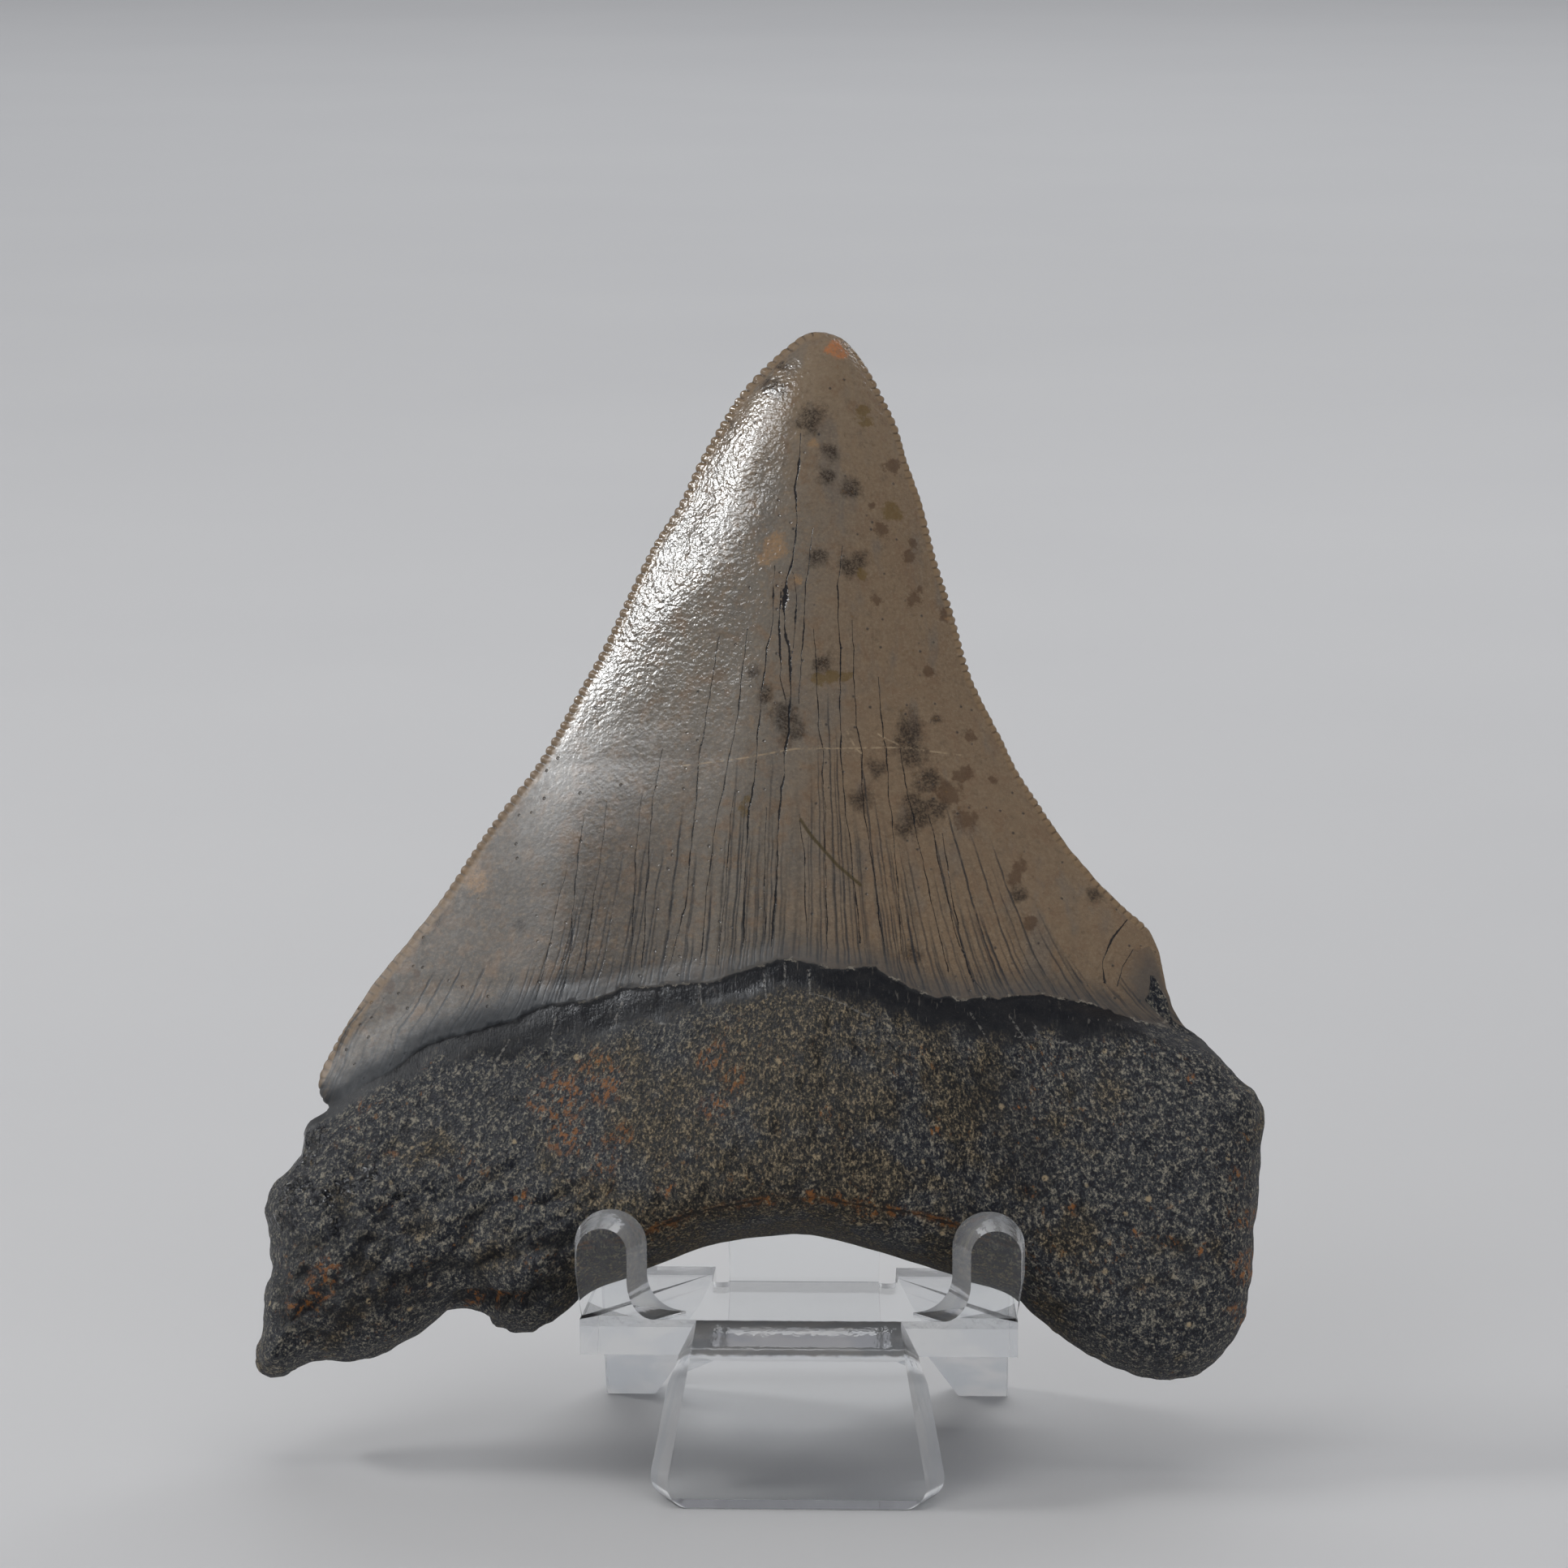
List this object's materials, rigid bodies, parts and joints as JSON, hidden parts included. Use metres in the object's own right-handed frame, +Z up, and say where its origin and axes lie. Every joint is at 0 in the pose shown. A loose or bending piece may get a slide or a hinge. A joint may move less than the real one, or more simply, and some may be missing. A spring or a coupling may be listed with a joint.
{
  "type": "megalodon tooth on display stand",
  "caption": "Fossil megalodon tooth with a serrated triangular crown and a dark arched root, leaning upright on a clear plastic display stand.",
  "frame": {"origin": "middle of the flat underside of the stand's front leg", "axes": "+Z up, +X across to the viewer's right, +Y from the front leg back to the rear legs"},
  "size_m": [0.09, 0.0481, 0.098],
  "materials": {
    "fossil_tooth": "glossy grey-tan enamel over a matte charcoal-brown root",
    "clear_plastic": "clear, polished"
  },
  "bodies": {
    "root": {"megalodon_tooth": "fossil_tooth", "display_stand": "clear_plastic"}
  },
  "joints": []
}
